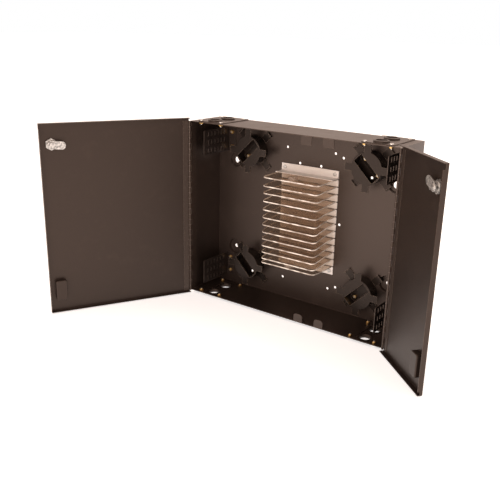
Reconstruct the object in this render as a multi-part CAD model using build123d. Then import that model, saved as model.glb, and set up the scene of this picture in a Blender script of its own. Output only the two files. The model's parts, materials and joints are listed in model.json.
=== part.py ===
from build123d import *
import math
import os

# Wall-mount fiber termination box: a shallow sheet-steel cabinet with two
# hinged doors of unequal width, four slack spools, four cable-tie brackets,
# grommeted entry plates and a rack of splice organizer sheets.
#
# Millimetres.  +X is to the viewer's right, +Y runs into the wall, +Z is up.
# The model is drawn about the middle of the box, with the wall at Y = 0.  It
# is written out about the middle of the four wall holes, which sit a little
# higher because the top two are keyholes.

# ---- cabinet ----
box_width = 508.0
box_height = 406.4
box_depth = 108.0           # front edge to the rear face of the back panel
sheet = 1.5                 # steel of the cabinet
standoff = 6.0              # depth of the wall dimples behind the back panel
bend_outer = 2.4
bend_inner = 0.9

# ---- wall mounting ----
wall_hole_spread = 406.4    # between the two wall studs
dimple_spread = 215.9       # between the upper and the lower dimples
dimple_mouth_r = 18.5
dimple_floor_r = 16.0
wall_hole_r = 4.0
keyhole_rise = 8.0          # screw seat above the middle of an upper dimple
keyhole_neck = 5.6
keyhole_entry_r = 7.5
keyhole_entry_drop = 2.0

# ---- doors ----
left_door_share = 330.2     # from the left side of the box to the meeting line
meeting_gap = 1.0           # each door stops this far from the meeting line
door_sheet = 1.2
door_flange = 10.5
door_overhang_top = 6.8     # how far a door stands above the box
door_overhang_bottom = 3.2
door_bend = 1.8
left_open = 118.1           # degrees from closed, as drawn
right_open = 137.8
free_flange_clear = 3.0     # free-edge flange to the top and bottom panels

# ---- piano hinges ----
knuckle_pitch = 12.7
knuckle_gap = 0.4
knuckle_r = 2.4
pin_r = 1.4
pin_clear = 0.05
leaf = 1.0
leaf_width = 15.0
hinge_clear = 0.35
panel_clear = 0.3           # door panel to the barrel
panel_inset = 0.6           # door panel edge inside the hinge axis

# ---- strike tabs ----
top_strike_width = 24.0
bottom_strike_width = 21.0
top_strike_drop = 18.9      # tab tip below the outer face of the top panel
bottom_strike_rise = 19.0
strike_foot = 10.0
top_strike_round = 2.0
bottom_strike_round = 6.0

# ---- cam locks ----
lock_from_edge = 24.5
lock_height = 166.3         # above the middle of the box
lock_barrel_r = 9.0
lock_collar_r = 11.5
lock_collar = 2.2
lock_nut_across = 22.0
lock_nut = 4.5
plug_r = 6.0
plug_clear = 0.05
cam_width = 17.0
cam_reach = 28.5
cam_sheet = 2.5
cam_clear = 1.6             # closed, from the back of a strike tab to the cam
cam_square = 7.5
cam_head_across = 10.0
cam_head = 3.5
cam_washer = 0.8
cam_bolt_r = 2.5
left_cam_tilt = -7.0        # degrees above level, pointing at the hinge
right_cam_tilt = 20.0

# ---- finger-pull cups ----
cup_width = 24.0
cup_height = 46.0
cup_depth = 12.0
cup_wall = 1.3
cup_rim = 2.5
cup_rim_sheet = 1.0
cup_height_mid = -155.2     # middle of the cup from the middle of the box
cup_round = 4.0

# ---- cable entry plates, grommets and their fasteners ----
plate_offset = 202.0        # middle of a plate from the middle of the box
plate_width = 69.0
plate_front_gap = 5.0
plate_back_gap = 3.0
plate_sheet = 1.5
grommet_ys = (-90.0, -44.5)
grommet_r = 16.0
grommet_hole_r = 11.0
grommet_neck_r = 12.8
grommet_lip_r = 14.2
grommet_head = 4.0
grommet_lip = 1.5
grommet_flare_r = 13.2      # the hole widens toward the inside of the box
cutout_margin = 0.4
entry_screw_spread = 55.0
entry_screw_ys = (-104.6, -22.0)
screw_r = 1.95
screw_hole_r = 2.1
screw_head_r = 4.0
screw_head = 2.2
nut_across = 8.0
nut_height = 4.0
thread_past_nut = 1.6

# ---- cable-tie brackets ----
bracket_offset = 225.0      # outer face of the leg from the middle of the box
bracket_height_mid = 154.5
bracket_height = 56.0
bracket_sheet = 1.2
bracket_front = -102.0
bracket_flange = 20.0
bracket_stud_in = 10.5
bracket_stud_spread = 34.0
slot_rows = 3
slot_columns = 6
slot_height = 10.8
slot_width = 4.2
slot_row_pitch = 18.6
slot_column_pitch = 11.9
slot_start = 13.2           # first column behind the leg's front edge

# ---- slack spools ----
spool_x = 149.0
spool_z = 137.5
spool_r = 34.5
spool_depth = 30.0
spool_wall = 2.0
spool_slot_length = 61.0
spool_slot_width = 22.0
spool_bar_width = 17.0
spool_bar = 3.0
spool_stud = 22.0
front_tab_tip = 49.0
front_tab_width = 15.5
base_tab_tip = 57.0
base_tab_width = 16.5
tab_lip = 5.0
spool_edge = 0.9

# ---- splice organizer ----
comb_width = 145.0
comb_height = 236.0
comb_sheet = 1.5
comb_slits = 13
comb_pitch = 16.51
slit_length = 24.0
slit_height = 2.8
comb_screw_x = 63.5
comb_screw_from_edge = 8.0
leaf_sheet_width = 140.0
leaf_sheet_reach = 83.0     # from the back panel to the front edge
leaf_sheet = 2.4
leaf_sheet_round = 9.0
sheet_droops = (1.7, 4.4, 3.8, 5.4, 7.9, 9.3, 9.6, 9.6, 8.8, 8.0, 6.6, 4.8, -2.1)
collar_r = 10.5             # ring moulded around the hole of an end sheet
collar_wall = 2.2
collar_rise = 7.5
collar_clear = 0.5
collar_back = 12.5          # its middle behind the front edge
lip_depth = 28.0
lip_sheet = 1.5
lip_gap = 0.3

# ---- spare holes in the back panel, from the middle of the box ----
spare_hole_r = 2.8
spare_holes = (
    (-60.8, 154.0), (60.8, 154.0), (-60.8, -154.0), (60.8, -154.0),
    (-26.9, 122.0), (26.9, 122.0),
    (80.3, 146.7), (80.3, 0.0), (80.3, -146.7),
)
spool_spare_drop = 23.0

# ---- places worked out from the sizes above ----
half_w = box_width / 2
half_h = box_height / 2
panel_back = -standoff
panel_face = panel_back - sheet
front = panel_back - box_depth
inner_w = half_w - sheet
inner_h = half_h - sheet
wall_hole_x = wall_hole_spread / 2
dimple_z = dimple_spread / 2
meeting_x = -half_w + left_door_share
left_door_width = left_door_share - meeting_gap
right_door_width = box_width - left_door_share - meeting_gap
barrel_reach = knuckle_r + panel_clear
axis_y = front - hinge_clear - barrel_reach
door_top = half_h + door_overhang_top
door_bottom = -half_h - door_overhang_bottom
plate_front = front + plate_front_gap
plate_back = panel_back - plate_back_gap
plate_top = half_h + plate_sheet
comb_face = panel_face - comb_sheet
lift = -keyhole_rise / 2    # middle of the box from the middle of the wall holes
sides = {"left": 1, "right": -1}
rows = {"top": 1, "bottom": -1}


def block(x0, x1, y0, y1, z0, z1):
    size = (abs(x1 - x0), abs(y1 - y0), abs(z1 - z0))
    return Pos((x0 + x1) / 2, (y0 + y1) / 2, (z0 + z1) / 2) * Box(*size)


def rod_x(x0, x1, y, z, r):
    return Pos((x0 + x1) / 2, y, z) * Rot(0, 90, 0) * Cylinder(r, abs(x1 - x0))


def rod_y(x, y0, y1, z, r):
    return Pos(x, (y0 + y1) / 2, z) * Rot(90, 0, 0) * Cylinder(r, abs(y1 - y0))


def rod_z(x, y, z0, z1, r):
    return Pos(x, y, (z0 + z1) / 2) * Cylinder(r, abs(z1 - z0))


def hexagon_y(x, y0, y1, z, across):
    """Six-sided bar along Y, with a flat at its top."""
    face = RegularPolygon(across / 2, 6, major_radius=False, rotation=30)
    bar = extrude(face, abs(y1 - y0))
    return Pos(x, max(y0, y1), z) * Rot(90, 0, 0) * bar


def round_box_y(x, y0, y1, z, width, height, radius):
    """Bar along Y with a rounded rectangle for its section."""
    face = RectangleRounded(width, height, radius)
    return Pos(x, max(y0, y1), z) * Rot(90, 0, 0) * extrude(face, abs(y1 - y0))


def all_solids(shapes):
    found = []
    for shape in shapes:
        found += list(shape.solids())
    return found


def write(name, *shapes):
    """Writes one node, moved to the middle of the wall holes."""
    placed = [Pos(0, 0, lift) * solid for solid in all_solids(shapes)]
    shape = placed[0] if len(placed) == 1 else Compound(placed)
    export_step(shape, os.path.join("parts", name + ".step"))


def flip_x(shape, side):
    """Left-hand shape as drawn, mirrored for the right-hand side."""
    return shape if side > 0 else mirror(shape, about=Plane.YZ)


def flip_z(shape, row):
    """Upper shape as drawn, mirrored for the lower row."""
    return shape if row > 0 else mirror(shape, about=Plane.XY)


# ---- cabinet ----
def keyhole_cutter(x, z, seat_side):
    """Screw seat, neck and entry hole through an upper dimple's floor."""
    seat_z = z + seat_side * keyhole_rise
    entry_z = z - seat_side * keyhole_entry_drop
    y0 = panel_face - 1
    y1 = 1
    neck = block(x - keyhole_neck / 2, x + keyhole_neck / 2, y0, y1, entry_z, seat_z)
    entry = rod_y(x, y0, y1, entry_z, keyhole_entry_r)
    return rod_y(x, y0, y1, seat_z, wall_hole_r) + neck + entry


def dimple(x, z):
    """Pressed recess whose floor rests on the wall: the metal, then the hollow."""
    draft = (dimple_mouth_r - dimple_floor_r) / standoff
    outer_back = dimple_floor_r - draft * sheet + sheet
    outer_front = outer_back + draft * (standoff + sheet / 2)
    turn = Rot(90, 0, 0)
    metal_depth = standoff + sheet / 2
    metal = Pos(x, -metal_depth / 2, z) * turn * Cone(outer_back, outer_front, metal_depth)
    hollow_y = panel_face + standoff / 2
    hollow = Pos(x, hollow_y, z) * turn * Cone(dimple_floor_r, dimple_mouth_r, standoff)
    return metal, hollow


def entry_cutout(side):
    """Opening in the top panel under an entry plate, around both grommets."""
    x = -side * plate_offset
    y0 = min(grommet_ys) - grommet_lip_r - cutout_margin
    y1 = max(grommet_ys) + grommet_lip_r + cutout_margin
    width = 2 * (grommet_lip_r + cutout_margin) + 4
    face = RectangleRounded(width, y1 - y0, 8)
    return Pos(x, (y0 + y1) / 2, inner_h - 1) * extrude(face, sheet + 2)


def entry_screw_places(side):
    x = -side * plate_offset
    dx = entry_screw_spread / 2
    return [(x + s * dx, y) for s in (-1, 1) for y in entry_screw_ys]


def spool_places():
    return [(name_x, name_z, -side * spool_x, row * spool_z)
            for name_z, row in rows.items() for name_x, side in sides.items()]


def spool_stud_places():
    """Two studs for each spool, along its slot."""
    step = spool_stud / math.sqrt(2)
    places = []
    for name_x, name_z, x, z in spool_places():
        slope = -sides[name_x] * rows[name_z]
        places += [(x - step, z + slope * step), (x + step, z - slope * step)]
    return places


def bracket_stud_places():
    places = []
    for side in sides.values():
        x = -side * (bracket_offset - bracket_stud_in)
        for row in rows.values():
            for s in (-1, 1):
                z = row * bracket_height_mid + s * bracket_stud_spread / 2
                places.append((x, z))
    return places


def comb_screw_places():
    z = comb_height / 2 - comb_screw_from_edge
    return [(sx * comb_screw_x, sz * z) for sx in (-1, 1) for sz in (-1, 1)]


def make_cabinet_shell():
    """Back, top and bottom, bent from one sheet."""
    outer = block(-inner_w, inner_w, front - 20, panel_back, -half_h, half_h)
    outer = fillet(outer.edges().filter_by(Axis.X).group_by(Axis.Y)[-1], bend_outer)
    inner = block(-inner_w - 1, inner_w + 1, front - 21, panel_face, -inner_h, inner_h)
    inner = fillet(inner.edges().filter_by(Axis.X).group_by(Axis.Y)[-1], bend_inner)
    shell = outer - inner
    shell -= block(-half_w - 2, half_w + 2, front - 30, front, -half_h - 2, half_h + 2)
    hollows = []
    for sx in (-1, 1):
        for row in rows.values():
            metal, hollow = dimple(sx * wall_hole_x, row * dimple_z)
            shell += metal
            hollows.append(hollow)
    shell -= hollows
    cuts = []
    for sx in (-1, 1):
        cuts.append(keyhole_cutter(sx * wall_hole_x, dimple_z, 1))
        cuts.append(rod_y(sx * wall_hole_x, panel_face - 1, 1, -dimple_z, wall_hole_r))
    for x, z in spare_holes:
        cuts.append(rod_y(x, panel_face - 1, panel_back + 1, z, spare_hole_r))
    for _, _, x, z in spool_places():
        cuts.append(rod_y(x, panel_face - 1, panel_back + 1, z - spool_spare_drop, spare_hole_r))
    for x, z in comb_screw_places():
        cuts.append(rod_y(x, panel_face - 1, panel_back + 1, z, screw_hole_r))
    for side in sides.values():
        for row in rows.values():
            cuts.append(flip_z(entry_cutout(side), row))
            for x, y in entry_screw_places(side):
                cuts.append(rod_z(x, y, row * (inner_h - 1), row * (half_h + 1), screw_hole_r))
    return shell - cuts


def make_side_panel(side):
    panel = block(-half_w, -inner_w, front, panel_back, -half_h, half_h)
    corners = panel.edges().filter_by(Axis.X).group_by(Axis.Y)[-1]
    return flip_x(fillet(corners, bend_outer), side)


def make_strike_tab(x, width, tip, corner_round):
    """Tab hanging behind the front edge from a foot on the top panel."""
    x0 = x - width / 2
    x1 = x + width / 2
    tab = block(x0, x1, front, front + sheet, tip, inner_h)
    tab = fillet(tab.edges().filter_by(Axis.Y).group_by(Axis.Z)[0], corner_round)
    return tab + block(x0, x1, front, front + strike_foot, inner_h - sheet, inner_h)


# ---- piano hinges, drawn with the axis at the origin ----
def knuckles(first, arm):
    """Every second barrel piece of a leaf, each with the arm that joins it."""
    count = int(box_height // knuckle_pitch)
    start = -count * knuckle_pitch / 2
    pieces = []
    for i in range(first, count, 2):
        z0 = start + i * knuckle_pitch + knuckle_gap / 2
        z1 = start + (i + 1) * knuckle_pitch - knuckle_gap / 2
        x0, x1, y0, y1 = arm
        pieces.append(rod_z(0, 0, z0, z1, knuckle_r) + block(x0, x1, y0, y1, z0, z1))
    return pieces


def hinge_span():
    return int(box_height // knuckle_pitch) * knuckle_pitch / 2


def make_frame_leaf(side):
    """Leaf on the inner face of the side panel."""
    span = hinge_span()
    x0 = sheet
    x1 = sheet + leaf
    y_front = front - axis_y + 0.5
    y_back = y_front + leaf_width
    plate = block(x0, x1, y_front, y_back, -span, span)
    shape = plate + knuckles(0, (x0, x1, 0, y_front + 1))
    shape -= rod_z(0, 0, -span - 1, span + 1, pin_r + pin_clear)
    y_edge = front - axis_y - 0.2
    for s in (-1, 1):
        shape -= block(x0 - 1, x1 + 1, y_edge, y_back + 1, s * (inner_h - 0.3), s * (half_h + 5))
    return flip_x(Pos(-half_w, axis_y, 0) * shape, side)


def make_door_leaf():
    """Leaf on the inner face of the door, in the closed door's own frame."""
    span = hinge_span()
    y0 = -barrel_reach
    y1 = -barrel_reach + leaf
    x_start = knuckle_r + 0.5
    plate = block(x_start, leaf_width, y0, y1, -span, span)
    shape = plate + knuckles(1, (0, x_start + 1, y0, y1))
    return shape - rod_z(0, 0, -span - 1, span + 1, pin_r + pin_clear)


def make_hinge_pin(side):
    span = hinge_span()
    return flip_x(Pos(-half_w, axis_y, 0) * Cylinder(pin_r, 2 * span), side)


# ---- doors, in the closed door's own frame: hinge axis at the origin ----
def door_lock_x(width):
    return width - lock_from_edge


def cup_cutter(x, grow):
    """Body of the finger-pull cup, grown on every side."""
    y0 = -barrel_reach - door_sheet - 1
    y1 = -barrel_reach + cup_depth
    return round_box_y(x, y0, y1, cup_height_mid, cup_width + 2 * grow,
                       cup_height + 2 * grow, cup_round + grow)


def make_door_pan(width):
    """Door sheet with flanges at its top, bottom and free edge."""
    y_out = -barrel_reach - door_sheet
    y_in = -barrel_reach
    y_tip = y_out + door_flange
    outer = block(panel_inset, width, y_out, y_tip, door_bottom, door_top)
    rims = outer.edges().group_by(Axis.Y)[0].sort_by(Axis.X)[1:]
    outer = fillet(rims, door_bend)
    inside_top = door_top - door_sheet
    inside_bottom = door_bottom + door_sheet
    inner = block(panel_inset - 1, width - door_sheet, y_in, y_tip + 1, inside_bottom, inside_top)
    rims = inner.edges().group_by(Axis.Y)[0].sort_by(Axis.X)[1:]
    inner = fillet(rims, door_bend - door_sheet)
    pan = outer - inner
    step = inner_h - free_flange_clear
    y_step = front - axis_y - 1.0
    for near, far in ((-step, inside_bottom), (step, inside_top)):
        pan -= block(width - door_sheet - 1, width + 1, y_step, y_tip + 1, near, far)
    x = door_lock_x(width)
    pan -= rod_y(x, y_out - 1, y_in + 1, lock_height, lock_barrel_r + 0.1)
    pan -= cup_cutter(x, 0.1)
    return pan


def make_finger_pull_cup(width):
    """Recessed cup that opens at the outer face of the door."""
    x = door_lock_x(width)
    y_out = -barrel_reach - door_sheet
    y_floor = -barrel_reach + cup_depth
    body = round_box_y(x, y_out, y_floor, cup_height_mid, cup_width, cup_height, cup_round)
    body = fillet(body.faces().sort_by(Axis.Y)[-1].edges(), 2.2)
    rim = round_box_y(x, y_out - cup_rim_sheet, y_out, cup_height_mid,
                      cup_width + 2 * cup_rim, cup_height + 2 * cup_rim, cup_round + cup_rim)
    hollow = round_box_y(x, y_out - cup_rim_sheet - 1, y_floor - cup_wall, cup_height_mid,
                         cup_width - 2 * cup_wall, cup_height - 2 * cup_wall,
                         cup_round - cup_wall)
    return body + rim - hollow


def cam_front():
    """Front face of the cam, in the closed door's frame."""
    return front + sheet + cam_clear - axis_y


def make_lock_housing(width):
    """Collar outside the door and threaded barrel through it."""
    x = door_lock_x(width)
    y_out = -barrel_reach - door_sheet
    y_end = cam_front() - 0.5
    collar = rod_y(x, y_out - lock_collar, y_out, lock_height, lock_collar_r)
    collar = chamfer(collar.faces().sort_by(Axis.Y)[0].edges(), 0.8)
    barrel = rod_y(x, y_out, y_end, lock_height, lock_barrel_r)
    shape = collar + barrel
    shape -= rod_y(x, y_out - lock_collar - 1, y_end + 1, lock_height, plug_r + plug_clear)
    notch = block(x - 1.5, x + 1.5, y_end - 1.5, y_end + 1, lock_height, lock_height + 15)
    return shape - notch


def make_lock_nut(width):
    x = door_lock_x(width)
    y0 = -barrel_reach
    nut = hexagon_y(x, y0, y0 + lock_nut, lock_height, lock_nut_across)
    return nut - rod_y(x, y0 - 1, y0 + lock_nut + 1, lock_height, lock_barrel_r + 0.05)


def make_lock_plug(width):
    """Turning core with a key slot at the front and a square for the cam."""
    x = door_lock_x(width)
    y_key = -barrel_reach - door_sheet - lock_collar - 0.6
    y_cam = cam_front()
    core = rod_y(x, y_key, y_cam, lock_height, plug_r)
    core = chamfer(core.faces().sort_by(Axis.Y)[0].edges(), 0.5)
    half = cam_square / 2
    core += block(x - half, x + half, y_cam, y_cam + cam_sheet, lock_height - half, lock_height + half)
    core -= block(x - 0.7, x + 0.7, y_key - 1, y_key + 9, lock_height - 3.6, lock_height + 3.6)
    return core - rod_y(x, y_cam - 6, y_cam + cam_sheet + 1, lock_height, cam_bolt_r)


def make_lock_cam(width, tilt):
    """Flat arm with a round end, pointing at the hinge and tilted up."""
    x = door_lock_x(width)
    y0 = cam_front()
    y1 = y0 + cam_sheet
    r = cam_width / 2
    arm = rod_y(0, y0, y1, 0, r) + rod_y(-(cam_reach - r), y0, y1, 0, r)
    arm += block(-(cam_reach - r), 0, y0, y1, -r, r)
    half = cam_square / 2
    arm -= block(-half, half, y0 - 1, y1 + 1, -half, half)
    arm = chamfer(arm.faces().sort_by(Axis.Y)[-1].outer_wire().edges(), 0.4)
    return Pos(x, 0, lock_height) * Rot(0, tilt, 0) * arm


def make_cam_bolt(width, tilt):
    """Hex bolt with a washer that holds the cam on the plug."""
    y0 = cam_front() + cam_sheet
    y1 = y0 + cam_washer
    washer = rod_y(0, y0, y1, 0, cam_head_across / 2 + 1)
    head = hexagon_y(0, y1, y1 + cam_head, 0, cam_head_across)
    shank = rod_y(0, y0 - 7, y0, 0, cam_bolt_r)
    shape = Rot(0, tilt, 0) * (washer + head + shank)
    return Pos(door_lock_x(width), 0, lock_height) * shape


def turn_plug(width, tilt):
    """The plug turns with its cam, about the lock's axis."""
    x = door_lock_x(width)
    centred = Pos(-x, 0, -lock_height) * make_lock_plug(width)
    return Pos(x, 0, lock_height) * Rot(0, tilt, 0) * centred


def hang(shape, side, angle):
    """Hangs a closed-door shape on its hinge and opens it by the angle."""
    turned = Rot(0, 0, -side * angle) * flip_x(shape, side)
    return Pos(-side * half_w, axis_y, 0) * turned


# ---- cable entry ----
def make_entry_plate(side, row):
    x = -side * plate_offset
    face = RectangleRounded(plate_width, plate_back - plate_front, 4)
    plate = Pos(x, (plate_front + plate_back) / 2, half_h) * extrude(face, plate_sheet)
    for y in grommet_ys:
        plate -= rod_z(x, y, half_h - 1, plate_top + 1, grommet_neck_r)
    for sx, sy in entry_screw_places(side):
        plate -= rod_z(sx, sy, half_h - 1, plate_top + 1, screw_hole_r)
    return flip_z(plate, row)


def make_grommet(x, y, row):
    """Rubber ring that grips the plate between its head and its lip."""
    head_z = plate_top + grommet_head
    lip_z = half_h - grommet_lip
    ring = rod_z(x, y, plate_top, head_z, grommet_r)
    ring = fillet(ring.edges().group_by(Axis.Z)[-1], 2.6)
    ring += rod_z(x, y, half_h, plate_top, grommet_neck_r)
    lip = rod_z(x, y, lip_z, half_h, grommet_lip_r)
    ring += chamfer(lip.edges().group_by(Axis.Z)[0], 0.4)
    ring -= rod_z(x, y, lip_z - 1, head_z + 1, grommet_hole_r)
    depth = plate_top - lip_z
    ring -= Pos(x, y, lip_z + depth / 2) * Cone(grommet_flare_r, grommet_hole_r, depth)
    return flip_z(ring, row)


def make_entry_screw(x, y, row):
    """Pan-head screw through the plate and the panel."""
    head = rod_z(x, y, plate_top, plate_top + screw_head, screw_head_r)
    head = fillet(head.edges().group_by(Axis.Z)[-1], 1.2)
    for angle in (0, 90):
        slot = Box(0.9, 4.6, 2.0)
        head -= Pos(x, y, plate_top + screw_head) * Rot(0, 0, angle) * slot
    tip = inner_h - nut_height - thread_past_nut
    return flip_z(head + rod_z(x, y, tip, plate_top, screw_r), row)


def nut_blank():
    """Hex nut standing on Z = 0, with a rounded top and a threaded bore."""
    blank = extrude(RegularPolygon(nut_across / 2, 6, major_radius=False), nut_height)
    dome = Cone(nut_across / 2 + 2.6, nut_across / 2 - 0.3, nut_height)
    blank &= Pos(0, 0, nut_height / 2) * dome
    return blank - Cylinder(screw_r + 0.05, 3 * nut_height)


def make_entry_nut(x, y, row):
    return flip_z(Pos(x, y, inner_h) * Rot(180, 0, 0) * nut_blank(), row)


def make_panel_nut(x, y, z):
    """Nut facing the front of the box, seated at depth y."""
    return Pos(x, y, z) * Rot(90, 0, 0) * nut_blank()


def make_stud(x, z, seat_y):
    """Stud welded to the back panel, long enough for its nut."""
    return rod_y(x, seat_y - nut_height - thread_past_nut, panel_face, z, screw_r)


# ---- cable-tie brackets ----
def make_tie_bracket(side, row):
    z_mid = bracket_height_mid
    z0 = z_mid - bracket_height / 2
    z1 = z_mid + bracket_height / 2
    x_leg = -bracket_offset
    leg = block(x_leg, x_leg + bracket_sheet, bracket_front, panel_face, z0, z1)
    leg = fillet(leg.edges().filter_by(Axis.X).group_by(Axis.Y)[0], 2.0)
    flange = block(x_leg, x_leg + bracket_flange, panel_face - bracket_sheet, panel_face, z0, z1)
    shape = leg + flange
    cuts = []
    for i in range(slot_columns):
        y = bracket_front + slot_start + i * slot_column_pitch
        for j in range(slot_rows):
            z = z_mid + (j - (slot_rows - 1) / 2) * slot_row_pitch
            slot = SlotOverall(slot_height, slot_width, rotation=90)
            bar = extrude(slot, 2 * bracket_sheet, both=True)
            cuts.append(Pos(x_leg, y, z) * Rot(90, 0, 0) * Rot(0, 90, 0) * bar)
    for s in (-1, 1):
        x = x_leg + bracket_stud_in
        z = z_mid + s * bracket_stud_spread / 2
        cuts.append(rod_y(x, panel_face - 5, panel_face + 1, z, screw_hole_r))
    return flip_z(flip_x(shape - cuts, side), row)


# ---- slack spools ----
def spoke(tip, width, y0, y1, angle):
    """Flat tab running out from the middle, turned about the spool's axis."""
    return Rot(0, angle, 0) * block(spool_r - 6, tip, y0, y1, -width / 2, width / 2)


def make_spool(side, row):
    """Hollow drum with a slotted front, open at the back, and a fixing bar."""
    y_front = panel_face - spool_depth
    drum = rod_y(0, y_front, panel_face, 0, spool_r)
    drum = fillet(drum.edges().group_by(Axis.Y)[0], spool_edge)
    for i in range(4):
        angle = 90 * i
        drum += spoke(front_tab_tip, front_tab_width, y_front, y_front + spool_wall, angle)
        drum += spoke(base_tab_tip, base_tab_width, panel_face - spool_wall, panel_face, angle + 45)
        lip = block(base_tab_tip - spool_wall, base_tab_tip, panel_face - tab_lip, panel_face,
                    -base_tab_width / 2, base_tab_width / 2)
        drum += Rot(0, angle + 45, 0) * lip
    drum -= rod_y(0, y_front + spool_wall, panel_face + 1, 0, spool_r - spool_wall)
    turn = Rot(0, -45, 0)
    slot = round_box_y(0, y_front - 1, y_front + spool_wall + 1, 0,
                       spool_slot_length, spool_slot_width, 2.0)
    drum -= turn * slot
    half = spool_bar_width / 2
    bar = block(-spool_r + 1, spool_r - 1, panel_face - spool_bar, panel_face, -half, half)
    bar &= rod_y(0, panel_face - spool_bar, panel_face, 0, spool_r - spool_wall / 2)
    for s in (-1, 1):
        bar -= rod_y(s * spool_stud, panel_face - 10, panel_face + 1, 0, screw_hole_r)
    drum += turn * bar
    return flip_z(flip_x(Pos(-spool_x, 0, spool_z) * drum, side), row)


# ---- splice organizer ----
def slit_z(index):
    return ((comb_slits - 1) / 2 - index) * comb_pitch


def make_comb_plate():
    """Aluminium back plate with a row of slits at each side."""
    half = comb_width / 2
    plate = block(-half, half, comb_face, panel_face, -comb_height / 2, comb_height / 2)
    cuts = []
    for i in range(comb_slits):
        z = slit_z(i)
        for s in (-1, 1):
            cuts.append(block(s * (half - slit_length), s * (half + 1), comb_face - 1,
                              panel_face + 1, z - slit_height / 2, z + slit_height / 2))
    for x, z in comb_screw_places():
        cuts.append(rod_y(x, comb_face - 1, panel_face + 1, z, screw_hole_r))
    return plate - cuts


def make_top_bracket():
    """Angle over the first sheet, held by the upper screws."""
    half = comb_width / 2
    z0 = slit_z(0) + leaf_sheet / 2 + lip_gap
    leg = block(-half, half, comb_face - lip_sheet, comb_face, z0, comb_height / 2)
    lip = block(-half, half, panel_face - lip_depth, comb_face, z0, z0 + lip_sheet)
    shape = leg + lip
    for x, z in comb_screw_places():
        if z > 0:
            shape -= rod_y(x, comb_face - 5, comb_face + 1, z, screw_hole_r)
    return shape


def collar_height(index):
    """Rise of a sheet's collar, kept clear of the sheet above it."""
    if index == 0:
        return collar_rise
    bends = abs(sheet_droops[index - 1]) + abs(sheet_droops[index])
    return min(collar_rise, comb_pitch - leaf_sheet - bends - collar_clear)


def make_collar(index):
    """Ring that stands around the hole in the first or the last sheet."""
    y = panel_face - leaf_sheet_reach + collar_back
    here = 1 - collar_back / (leaf_sheet_reach - comb_sheet)
    level = slit_z(index) - sheet_droops[index] * here ** 2
    return rod_z(0, y, level - leaf_sheet / 2, level + leaf_sheet / 2 + collar_height(index), collar_r)


def make_organizer_sheet(index):
    """Clear sheet that bends evenly from its slit to its drooping front edge."""
    droop = sheet_droops[index]
    bend = max(abs(droop), 0.3)
    reach = leaf_sheet_reach - comb_sheet
    radius = (reach ** 2 + bend ** 2) / (2 * bend)
    half = leaf_sheet_width / 2
    tube = rod_x(-half, half, comb_face, -radius, radius + leaf_sheet / 2)
    tube -= rod_x(-half - 1, half + 1, comb_face, -radius, radius - leaf_sheet / 2)
    y_front = panel_face - leaf_sheet_reach
    corner = RectangleRounded(leaf_sheet_width, 2 * reach, leaf_sheet_round)
    depth = bend + 4 * leaf_sheet
    plan = Pos(0, y_front + reach, -depth) * extrude(corner, 2 * depth)
    plan &= block(-half, half, y_front, comb_face, -depth, depth)
    shape = Pos(0, 0, slit_z(index)) * flip_z(tube & plan, 1 if droop > 0 else -1)
    tab_out = comb_width / 2 - 1.5
    tab_in = comb_width / 2 - slit_length + 0.5
    z0 = slit_z(index) - leaf_sheet / 2
    z1 = slit_z(index) + leaf_sheet / 2
    for s in (-1, 1):
        shape += block(s * tab_in, s * min(tab_out, half), comb_face - 0.5, panel_face, z0, z1)
    if index in (0, comb_slits - 1):
        shape += make_collar(index)
        hole_y = y_front + collar_back
        shape -= rod_z(0, hole_y, z0 - depth, z1 + depth + collar_rise, collar_r - collar_wall)
    return shape


def make_comb_screw(x, z):
    """Pan-head screw that holds the plate, and the angle above it."""
    seat = comb_face - lip_sheet if z > 0 else comb_face
    head = rod_y(x, seat - screw_head, seat, z, screw_head_r)
    head = fillet(head.edges().group_by(Axis.Y)[0], 1.2)
    for angle in (0, 90):
        head -= Pos(x, seat - screw_head, z) * Rot(0, angle, 0) * Box(0.9, 2.0, 4.6)
    return head + rod_y(x, seat, panel_back + thread_past_nut, z, screw_r)


def write_cabinet():
    write("cabinet_shell", make_cabinet_shell())
    lock_xs = (-half_w + door_lock_x(left_door_width), half_w - door_lock_x(right_door_width))
    top = [make_strike_tab(x, top_strike_width, half_h - top_strike_drop, top_strike_round)
           for x in lock_xs]
    low = [make_strike_tab(x, bottom_strike_width, half_h - bottom_strike_rise,
                           bottom_strike_round) for x in lock_xs]
    write("top_strike_tabs", *top)
    write("bottom_strike_tabs", *[flip_z(tab, -1) for tab in low])
    for name, side in sides.items():
        write(name + "_side_panel", make_side_panel(side))
        write(name + "_hinge_frame_leaf", make_frame_leaf(side))
        write(name + "_hinge_pin", make_hinge_pin(side))


def write_cable_entry():
    screws = []
    nuts = []
    for name_z, row in rows.items():
        for name_x, side in sides.items():
            corner = name_z + "_" + name_x
            x = -side * plate_offset
            write(corner + "_entry_plate", make_entry_plate(side, row))
            write(corner + "_grommets", *[make_grommet(x, y, row) for y in grommet_ys])
            for sx, sy in entry_screw_places(side):
                screws.append(make_entry_screw(sx, sy, row))
                nuts.append(make_entry_nut(sx, sy, row))
    write("entry_screws", *screws)
    return nuts


def write_fittings(entry_nuts):
    """Brackets and spools, and the studs and nuts that hold them."""
    studs = []
    nuts = list(entry_nuts)
    for name_z, row in rows.items():
        for name_x, side in sides.items():
            corner = name_z + "_" + name_x
            write(corner + "_tie_bracket", make_tie_bracket(side, row))
            write(corner + "_slack_spool", make_spool(side, row))
    for x, z in bracket_stud_places():
        seat = panel_face - bracket_sheet
        studs.append(make_stud(x, z, seat))
        nuts.append(make_panel_nut(x, seat, z))
    for x, z in spool_stud_places():
        seat = panel_face - spool_bar
        studs.append(make_stud(x, z, seat))
        nuts.append(make_panel_nut(x, seat, z))
    write("weld_studs", *studs)
    write("brass_nuts", *nuts)


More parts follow.
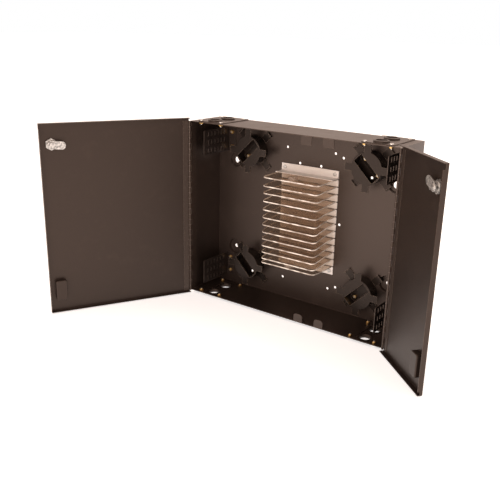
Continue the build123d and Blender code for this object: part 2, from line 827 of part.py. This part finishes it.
def write_organizer():
    write("organizer_back_plate", make_comb_plate())
    write("organizer_top_bracket", make_top_bracket())
    write("organizer_screws", *[make_comb_screw(x, z) for x, z in comb_screw_places()])
    for i in range(comb_slits):
        write("organizer_sheet_%02d" % (i + 1), make_organizer_sheet(i))


def write_door(name, width, angle, tilt):
    side = sides[name]
    pieces = {
        "_door_pan": make_door_pan(width),
        "_hinge_door_leaf": make_door_leaf(),
        "_finger_pull_cup": make_finger_pull_cup(width),
        "_lock_housing": make_lock_housing(width),
        "_lock_nut": make_lock_nut(width),
        "_lock_plug": turn_plug(width, tilt),
        "_lock_cam": make_lock_cam(width, tilt),
        "_lock_cam_bolt": make_cam_bolt(width, tilt),
    }
    for ending, shape in pieces.items():
        write(name + ending, hang(shape, side, angle))


os.makedirs("parts", exist_ok=True)
write_cabinet()
write_fittings(write_cable_entry())
write_organizer()
write_door("left", left_door_width, left_open, left_cam_tilt)
write_door("right", right_door_width, right_open, right_cam_tilt)
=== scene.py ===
"""Finishes, light and camera for a wall-mount fiber termination box."""

import math

import bpy
from mathutils import Matrix, Vector
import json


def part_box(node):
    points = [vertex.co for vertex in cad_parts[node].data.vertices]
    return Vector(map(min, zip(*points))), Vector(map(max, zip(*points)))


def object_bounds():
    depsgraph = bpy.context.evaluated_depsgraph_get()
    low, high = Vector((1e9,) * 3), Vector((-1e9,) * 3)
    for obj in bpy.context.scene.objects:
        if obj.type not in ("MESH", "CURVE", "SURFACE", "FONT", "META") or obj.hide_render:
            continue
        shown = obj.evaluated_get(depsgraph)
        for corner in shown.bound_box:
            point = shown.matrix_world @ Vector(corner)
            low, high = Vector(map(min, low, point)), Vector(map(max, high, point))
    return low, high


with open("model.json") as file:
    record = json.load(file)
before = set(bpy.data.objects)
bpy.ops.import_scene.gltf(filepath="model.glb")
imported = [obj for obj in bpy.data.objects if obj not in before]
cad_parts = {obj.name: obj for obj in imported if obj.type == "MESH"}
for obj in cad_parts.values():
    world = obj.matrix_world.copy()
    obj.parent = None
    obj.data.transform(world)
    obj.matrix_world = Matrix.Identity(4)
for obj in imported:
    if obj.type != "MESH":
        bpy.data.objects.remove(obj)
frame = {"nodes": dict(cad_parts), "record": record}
cad_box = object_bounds()
nodes = frame["nodes"]
MM = 0.001
COLOUR_MIX = {"data_type": "RGBA"}
SOFTEST_CORNER = 0.02       # how far a rounded normal turns before a corner mark starts (wear, and on some finishes a painted highlight)
SHARPEST_CORNER = 0.22      # and where the corner mark is full


# ---- material writing ----
class Wire:
    """A socket in a finish. Arithmetic on it adds Math nodes."""

    def __init__(self, finish, socket):
        self.finish = finish
        self.socket = socket

    def __add__(self, other):
        return self.finish.sum("ADD", self, other)

    def __radd__(self, other):
        return self.finish.sum("ADD", other, self)

    def __sub__(self, other):
        return self.finish.sum("SUBTRACT", self, other)

    def __rsub__(self, other):
        return self.finish.sum("SUBTRACT", other, self)

    def __mul__(self, other):
        return self.finish.sum("MULTIPLY", self, other)

    def __rmul__(self, other):
        return self.finish.sum("MULTIPLY", other, self)

    def __pow__(self, other):
        return self.finish.sum("POWER", self, other)

    def __abs__(self):
        return self.finish.sum("ABSOLUTE", self, 0.0)


class Finish:
    """The nodes that make one material, or the studio's backdrop."""

    def __init__(self, owner):
        self.owner = owner
        owner.use_nodes = True
        self.tree = owner.node_tree
        self.tree.nodes.clear()
        self.place = self.node("ShaderNodeTexCoord")["Object"]

    def node(self, kind, settings=None, **sockets):
        """Adds a node: its settings first, then the values or wires of its sockets."""
        made = self.tree.nodes.new(kind)
        for key, value in (settings or {}).items():
            setattr(made, key, value)
        for key, value in sockets.items():
            self.feed(made.inputs, key, value)
        return Outputs(self, made)

    def feed(self, inputs, key, value):
        """A socket is named by its words joined with _, or by i and its number."""
        if key[0] == "i" and key[1:].isdigit():
            socket = inputs[int(key[1:])]
        else:
            socket = inputs[key.replace("_", " ")]
        if isinstance(value, Wire):
            self.tree.links.new(value.socket, socket)
        else:
            socket.default_value = value

    def sum(self, operation, a, b):
        return self.node("ShaderNodeMath", {"operation": operation}, i0=a, i1=b)["Value"]

    def held(self, value):
        """The value, held between 0 and 1."""
        return self.node("ShaderNodeClamp", None, Value=value)["Result"]

    def step(self, value, low, high):
        """Rises smoothly from 0 at low to 1 at high."""
        settings = {"interpolation_type": "SMOOTHSTEP"}
        return self.node("ShaderNodeMapRange", settings, Value=value,
                         From_Min=low, From_Max=high)["Result"]

    def mix(self, amount, a, b):
        """Colour a turning into colour b as the amount goes from 0 to 1."""
        a, b = [c if isinstance(c, Wire) else (*c, 1.0) for c in (a, b)]
        return self.node("ShaderNodeMix", COLOUR_MIX, i0=amount, i6=a, i7=b).at(2)

    def stretched(self, x, y, z):
        """The place on the piece, scaled along each axis."""
        settings = {"operation": "MULTIPLY"}
        return self.node("ShaderNodeVectorMath", settings, i0=self.place, i1=(x, y, z)).at(0)

    def grain(self, size, detail=2.0, roughness=0.5, place=None, seed=0.0):
        """Soft noise whose features are about the given size, in metres."""
        return self.node("ShaderNodeTexNoise", {"noise_dimensions": "4D"},
                         Vector=place or self.place, W=seed, Scale=1.0 / size,
                         Detail=detail, Roughness=roughness)["Fac"]

    def spots(self, size, place=None):
        """Distance from scattered points about the given size apart."""
        return self.node("ShaderNodeTexVoronoi", {"feature": "F1"},
                         Vector=place or self.place, Scale=1.0 / size)["Distance"]

    def split(self, vector):
        parts = self.node("ShaderNodeSeparateXYZ", None, Vector=vector)
        return parts.at(0), parts.at(1), parts.at(2)

    def facing(self):
        """The surface's own normal, in the piece's frame."""
        return self.node("ShaderNodeTexCoord")["Normal"]

    def edges(self, radius):
        """1 on sharp corners within the radius, 0 on flat faces."""
        soft = self.node("ShaderNodeBevel", {"samples": 6}, Radius=radius)["Normal"]
        plain = self.node("ShaderNodeNewGeometry")["Normal"]
        settings = {"operation": "DOT_PRODUCT"}
        alike = self.node("ShaderNodeVectorMath", settings, i0=soft, i1=plain)["Value"]
        return self.step(1 - alike, SOFTEST_CORNER, SHARPEST_CORNER)

    def bump(self, height, depth, strength=1.0):
        """A bumped normal. The height runs from 0 to 1 over the depth, in metres."""
        return self.node("ShaderNodeBump", None, Height=height, Distance=depth,
                         Strength=strength)["Normal"]

    def surface(self, **sockets):
        """Closes the finish with its shader."""
        shader = self.node("ShaderNodeBsdfPrincipled", None, **sockets)["BSDF"]
        self.node("ShaderNodeOutputMaterial", None, Surface=shader)
        return self.owner


class Outputs:
    """A node's outputs, by name or by number."""

    def __init__(self, finish, made):
        self.finish = finish
        self.made = made

    def __getitem__(self, name):
        return Wire(self.finish, self.made.outputs[name])

    def at(self, number):
        return Wire(self.finish, self.made.outputs[number])


# ---- finishes ----
COAT_SHEEN = (1.0, 0.80, 0.70, 1.0)
RING_BACK = 12.5 * MM       # middle of a sheet's collar behind its front edge
RING_REACH = 11.0 * MM      # just outside the collar's wall
RING_FADE = 0.2 * MM


def new_finish(name):
    return Finish(bpy.data.materials.new(name))


def powder_coat(name, base, wear_and_highlight, peel=0.00016, shine=0.39, gloss=0.85, corner_wear_and_highlight=0.6):
    """Fine-textured powder coat: orange peel, faint clouds, paler at its corners from wear and a painted
    highlight.
    """
    f = new_finish(name)
    clouds = f.grain(0.09, 3.0, 0.55)
    speckle = f.grain(0.0020, 3.0, 0.65, seed=3.0)
    dust = f.step(f.grain(0.03, 4.0, 0.6, seed=7.0), 0.52, 0.78)
    dark = tuple(c * 0.65 for c in base)
    light = tuple(c * 1.35 for c in base)
    colour = f.mix(f.held(clouds * 0.5 + speckle * 0.8 - 0.15), dark, light)
    colour = f.mix(dust * 0.03, colour, wear_and_highlight)
    # Corners turn paler: partly worn paint, partly a painted highlight on the edges.
    corner = f.edges(0.7 * MM) * f.step(f.grain(0.006, 3.0, 0.6, seed=1.0), 0.25, 0.6)
    colour = f.mix(corner * corner_wear_and_highlight, colour, wear_and_highlight)
    peel_height = f.grain(0.0024, 2.0, 0.45, seed=5.0) * 0.7 + speckle * 0.3
    rough = f.held(shine + clouds * 0.10 - 0.05 + dust * 0.08 - corner * 0.06)
    return f.surface(Base_Color=colour, Roughness=rough, Specular_IOR_Level=gloss,
                     Specular_Tint=COAT_SHEEN, Normal=f.bump(peel_height, peel))


def hinge_paint():
    """The same coat, rubbed through on its corners, whose paleness is also a painted edge highlight."""
    f = new_finish("hinge_paint")
    rub = f.step(f.grain(0.004, 3.0, 0.6), 0.50, 0.75)
    corner = f.edges(0.5 * MM)
    # Corners are wear and a painted highlight: the pale colour stands in for an edge highlight as well as
    # bare metal.
    wear_and_highlight = f.held(rub * 0.06 + corner * 0.75)
    speckle = f.grain(0.0012, 2.0, 0.6, seed=2.0)
    paint = f.mix(speckle, (0.016, 0.0105, 0.008), (0.028, 0.019, 0.015))
    colour = f.mix(wear_and_highlight, paint, (0.50, 0.41, 0.34))
    return f.surface(Base_Color=colour, Metallic=wear_and_highlight * 0.6, Roughness=0.42 - wear_and_highlight * 0.1,
                     Specular_IOR_Level=0.8, Specular_Tint=COAT_SHEEN,
                     Normal=f.bump(speckle, 0.05 * MM))


def drawn_steel(name, tone, rough=0.28):
    """Bright steel with drawing lines along its length and faint clouds."""
    f = new_finish(name)
    lines = f.grain(0.0004, 2.0, 0.6, place=f.stretched(1.0, 1.0, 0.05))
    cloud = f.grain(0.004, 3.0, 0.6, seed=4.0)
    dark = tuple(c * 0.72 for c in tone)
    colour = f.mix(f.held(cloud * 0.7 + lines * 0.3), dark, tone)
    return f.surface(Base_Color=colour, Metallic=1.0, Roughness=rough + cloud * 0.14,
                     Normal=f.bump(lines, 0.02 * MM))


def nickel_plate():
    """Bright warm plate over turned and stamped parts, duller in patches."""
    f = new_finish("lock_nickel")
    haze = f.grain(0.004, 4.0, 0.6)
    pits = f.step(f.spots(0.0011), 0.0, 0.16)
    scuffs = f.step(f.grain(0.0018, 4.0, 0.7, place=f.stretched(1.0, 1.0, 0.25), seed=6.0), 0.56, 0.70)
    corner = f.edges(0.4 * MM)
    patches = f.step(haze, 0.38, 0.62)
    colour = f.mix(patches, (0.26, 0.255, 0.25), (0.70, 0.685, 0.66))
    colour = f.mix(f.held(corner * 0.8 + scuffs * 0.4), colour, (1.0, 0.97, 0.92))
    rough = f.held(0.24 + haze * 0.14 + scuffs * 0.14)
    return f.surface(Base_Color=colour, Metallic=0.72, Roughness=rough,
                     Normal=f.bump(pits * 0.6 + haze * 0.4, 0.03 * MM))


def brass_finish():
    """Golden brass with tarnish in patches and bright corners."""
    f = new_finish("brass")
    tarnish = f.grain(0.0022, 4.0, 0.6)
    machined = f.grain(0.0003, 2.0, 0.5, place=f.stretched(1.0, 0.15, 1.0), seed=2.0)
    corner = f.edges(0.5 * MM)
    colour = f.mix(tarnish, (0.62, 0.36, 0.10), (0.95, 0.68, 0.30))
    colour = f.mix(corner * 0.8, colour, (1.0, 0.86, 0.55))
    return f.surface(Base_Color=colour, Metallic=1.0, Roughness=0.20 + tarnish * 0.16,
                     Normal=f.bump(machined, 0.02 * MM))


def grommet_rubber():
    """Moulded black rubber, dull, with a faint bloom."""
    f = new_finish("grommet_rubber")
    bloom = f.step(f.grain(0.012, 4.0, 0.6), 0.45, 0.8)
    skin = f.grain(0.0006, 2.0, 0.6, seed=1.0)
    colour = f.mix(bloom, (0.016, 0.012, 0.010), (0.040, 0.030, 0.025))
    return f.surface(Base_Color=colour, Roughness=0.42 + bloom * 0.14,
                     Specular_IOR_Level=0.55, Specular_Tint=COAT_SHEEN, Normal=f.bump(skin, 0.05 * MM))


def spool_plastic():
    """Dark moulded plastic with a fine spark texture and paler rims, which are rubbing and a painted
    highlight.
    """
    f = new_finish("spool_black")
    spark = f.grain(0.0009, 3.0, 0.6)
    flow = f.grain(0.05, 3.0, 0.5, place=f.stretched(1.0, 1.0, 0.6), seed=3.0)
    corner = f.edges(0.9 * MM)
    colour = f.mix(f.held(flow * 0.7 + spark * 0.4 - 0.05), (0.006, 0.005, 0.0045), (0.016, 0.012, 0.010))
    # Pale rims: rubbed plastic and a painted rim highlight.
    colour = f.mix(corner * 0.85, colour, (0.36, 0.28, 0.22))
    rough = f.held(0.20 + flow * 0.16 - corner * 0.04)
    return f.surface(Base_Color=colour, Roughness=rough, Specular_IOR_Level=0.42,
                     Specular_Tint=COAT_SHEEN, Normal=f.bump(spark, 0.05 * MM))


def organizer_aluminium():
    """Matt mill aluminium: rolling lines up and down, small marks, bright cut edges."""
    f = new_finish("organizer_aluminium")
    rolled = f.grain(0.0005, 3.0, 0.65, place=f.stretched(1.0, 1.0, 0.02))
    cloud = f.grain(0.03, 3.0, 0.5, seed=2.0)
    marks = f.step(f.grain(0.005, 5.0, 0.7, seed=8.0), 0.60, 0.72)
    corner = f.edges(0.5 * MM)
    colour = f.mix(f.held(rolled * 0.5 + cloud * 0.5), (0.86, 0.80, 0.76), (0.98, 0.95, 0.92))
    colour = f.mix(marks * 0.2, colour, (0.55, 0.50, 0.46))
    colour = f.mix(corner * 0.5, colour, (1.0, 0.98, 0.95))
    rough = f.held(0.42 + cloud * 0.12 + marks * 0.12)
    return f.surface(Base_Color=colour, Metallic=0.45, Roughness=rough,
                     Normal=f.bump(rolled, 0.02 * MM))


def smoke_sheet():
    """Clear smoke-tinted acrylic. Its cut edges look pale from a painted highlight and a painted glow; its
    faces carry a faint painted glow.
    """
    f = new_finish("smoke_sheet")
    slope = f.split(f.facing())[2]
    x, y = f.split(f.place)[:2]
    ring_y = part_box("organizer_sheet_01")[0].y + RING_BACK
    from_ring = (x * x + (y - ring_y) * (y - ring_y)) ** 0.5
    ring = 1 - f.step(from_ring, RING_REACH - RING_FADE, RING_REACH + RING_FADE)
    upright = 1 - f.step(abs(slope), 0.45, 0.85)
    corner = f.edges(0.6 * MM)
    cut = f.held(upright * (1 - ring * 0.82) + corner * ring)
    # Painted glints along the cut edges.
    run = f.grain(0.016, 3.0, 0.6, place=f.stretched(1.0, 0.5, 3.0))
    painted_glint = f.step(run, 0.40, 0.62)
    haze = f.grain(0.03, 4.0, 0.55, seed=5.0)
    face = f.mix(haze, (0.24, 0.165, 0.12), (0.36, 0.26, 0.20))
    # Pale cut-edge colour is a painted highlight.
    painted_edge_highlight = f.mix(painted_glint, (0.38, 0.31, 0.26), (0.95, 0.88, 0.80))
    # Emission is a painted glow on the faces and the cut edges, strongest at the glints.
    glow = f.mix(cut, (0.22, 0.168, 0.134), f.mix(painted_glint, (0.05, 0.042, 0.035), (0.15, 0.125, 0.105)))
    skin = f.node("ShaderNodeBsdfPrincipled", None, Base_Color=f.mix(cut, face, painted_edge_highlight),
                  Roughness=0.10 + cut * 0.16, Emission_Color=glow, Emission_Strength=1.0,
                  Specular_IOR_Level=0.5,
                  Normal=f.bump(f.grain(0.02, 2.0, 0.5, seed=9.0), 0.06 * MM))["BSDF"]
    clear = f.node("ShaderNodeBsdfTransparent", None, Color=(0.75, 0.68, 0.61, 1.0))["BSDF"]
    cover = f.held(0.06 + haze * 0.04 + cut * 0.84)
    both = f.node("ShaderNodeMixShader", None, i0=cover, i1=clear, i2=skin)["Shader"]
    f.node("ShaderNodeOutputMaterial", None, Surface=both)
    return f.owner


def zinc_plate():
    """Bluish-white zinc with crystal patches."""
    f = new_finish("zinc_steel")
    crystals = f.spots(0.0016)
    cloud = f.grain(0.003, 3.0, 0.6, seed=3.0)
    colour = f.mix(f.held(cloud * 0.6 + crystals * 0.5), (0.46, 0.45, 0.44), (0.80, 0.79, 0.77))
    return f.surface(Base_Color=colour, Metallic=1.0, Roughness=0.26 + cloud * 0.18,
                     Normal=f.bump(crystals, 0.02 * MM))


COAT = (0.015, 0.0102, 0.0084)
# Pale corner colour: worn paint and a painted edge highlight.
COAT_WEAR_AND_HIGHLIGHT = (0.30, 0.22, 0.175)
finishes = {
    "cabinet_paint": powder_coat("cabinet_paint", COAT, COAT_WEAR_AND_HIGHLIGHT),
    "bracket_paint": powder_coat("bracket_paint", (0.012, 0.009, 0.008), (0.26, 0.20, 0.165)),
    "door_paint": powder_coat("door_paint", (0.016, 0.0108, 0.0088), COAT_WEAR_AND_HIGHLIGHT, gloss=0.57),
    "hinge_paint": hinge_paint(),
    "pin_steel": drawn_steel("pin_steel", (0.66, 0.62, 0.57)),
    "lock_nickel": nickel_plate(),
    "grommet_rubber": grommet_rubber(),
    "spool_black": spool_plastic(),
    "brass": brass_finish(),
    "zinc_steel": zinc_plate(),
    "organizer_aluminium": organizer_aluminium(),
    "smoke_sheet": smoke_sheet(),
}
for part in frame["record"]["subparts"]:
    piece = nodes[part["node"]]
    piece.data.materials.clear()
    piece.data.materials.append(finishes[part["material_slot"]])


# ---- studio ----
def soft_light(name, aim, azimuth, elevation, distance, width, height, power, tint):
    """A rectangular soft box that faces the aim. Azimuth 0 stands in front, 90 at -X."""
    lamp = bpy.data.lights.new(name, "AREA")
    lamp.shape = "RECTANGLE"
    lamp.size = width
    lamp.size_y = height
    lamp.energy = power
    lamp.color = tint
    holder = bpy.data.objects.new(name, lamp)
    a = math.radians(azimuth)
    e = math.radians(elevation)
    way = Vector((-math.sin(a) * math.cos(e), -math.cos(a) * math.cos(e), math.sin(e)))
    holder.location = aim + way * distance
    holder.rotation_euler = (-way).to_track_quat("-Z", "Y").to_euler()
    bpy.context.scene.collection.objects.link(holder)


def make_floor(level, reach):
    """A wide pale floor, slightly mottled."""
    mesh = bpy.data.meshes.new("studio_floor")
    corners = [(x, y, level) for x, y in ((-reach, -reach), (reach, -reach), (reach, reach), (-reach, reach))]
    mesh.from_pydata(corners, [], [(0, 1, 2, 3)])
    floor = bpy.data.objects.new("studio_floor", mesh)
    bpy.context.scene.collection.objects.link(floor)
    f = new_finish("studio_floor")
    shade = f.grain(0.6, 3.0, 0.5)
    mesh.materials.append(f.surface(
        Base_Color=f.mix(shade, (0.86, 0.86, 0.86), (0.90, 0.90, 0.90)), Roughness=0.9,
        Specular_IOR_Level=0.1, Emission_Color=(0.95, 0.95, 0.95, 1.0), Emission_Strength=0.62))


def make_backdrop():
    """A white backdrop that throws a warm, even light."""
    f = Finish(bpy.data.worlds.new("studio_white"))
    seen = f.node("ShaderNodeLightPath")["Is Camera Ray"]
    colour = f.mix(seen, BACKDROP_LIGHT, (1.0, 1.0, 1.0))
    glow = f.node("ShaderNodeBackground", None, Color=colour)["Background"]
    f.node("ShaderNodeOutputWorld", None, Surface=glow)
    bpy.context.scene.world = f.owner


def make_camera(aim):
    """The camera turns about Z, tips down and rolls a little, and looks at the aim."""
    lens = bpy.data.cameras.new("camera")
    lens.lens = LENS
    lens.sensor_width = SENSOR
    lens.shift_y = LENS_SHIFT
    camera = bpy.data.objects.new("camera", lens)
    bpy.context.scene.collection.objects.link(camera)
    turn = Matrix.Rotation(math.radians(CAMERA_TURN), 4, "Z")
    tip = Matrix.Rotation(math.radians(CAMERA_TIP), 4, "X")
    roll = Matrix.Rotation(math.radians(CAMERA_ROLL), 4, "Z")
    pose = turn @ tip @ roll
    back = pose.to_3x3() @ Vector((0, 0, CAMERA_DISTANCE))
    camera.matrix_world = Matrix.Translation(aim + back) @ pose
    bpy.context.scene.camera = camera


BACKDROP_LIGHT = (1.0, 0.79, 0.68)
LAMP_TINT = (1.0, 0.86, 0.76)
FLOOR_GAP = 0.2 * MM
FLOOR_REACH = 30.0
CLEAR_LAYERS = 32           # both faces of the thirteen sheets, and some to spare

LENS = 48.34
SENSOR = 36.0
LENS_SHIFT = 0.0025
CAMERA_TURN = 35.66         # degrees
CAMERA_TIP = 71.48
CAMERA_ROLL = 1.37
CAMERA_DISTANCE = 1.4702
CAMERA_AIM = Vector((-67.4, -76.1, -60.4)) * MM     # from the middle of the shell

shell_low, shell_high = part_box("cabinet_shell")
middle = (shell_low + shell_high) / 2
make_floor(cad_box[0].z - FLOOR_GAP, FLOOR_REACH)
make_backdrop()
bpy.context.scene.view_settings.view_transform = "Standard"
bpy.context.scene.cycles.transparent_max_bounces = CLEAR_LAYERS

soft_light("overhead", middle, azimuth=180, elevation=62, distance=2.2,
           width=2.4, height=1.4, power=26.0, tint=LAMP_TINT)
soft_light("front_fill", middle, azimuth=-8, elevation=1, distance=2.4,
           width=1.6, height=1.6, power=18.0, tint=LAMP_TINT)
make_camera(middle + CAMERA_AIM)
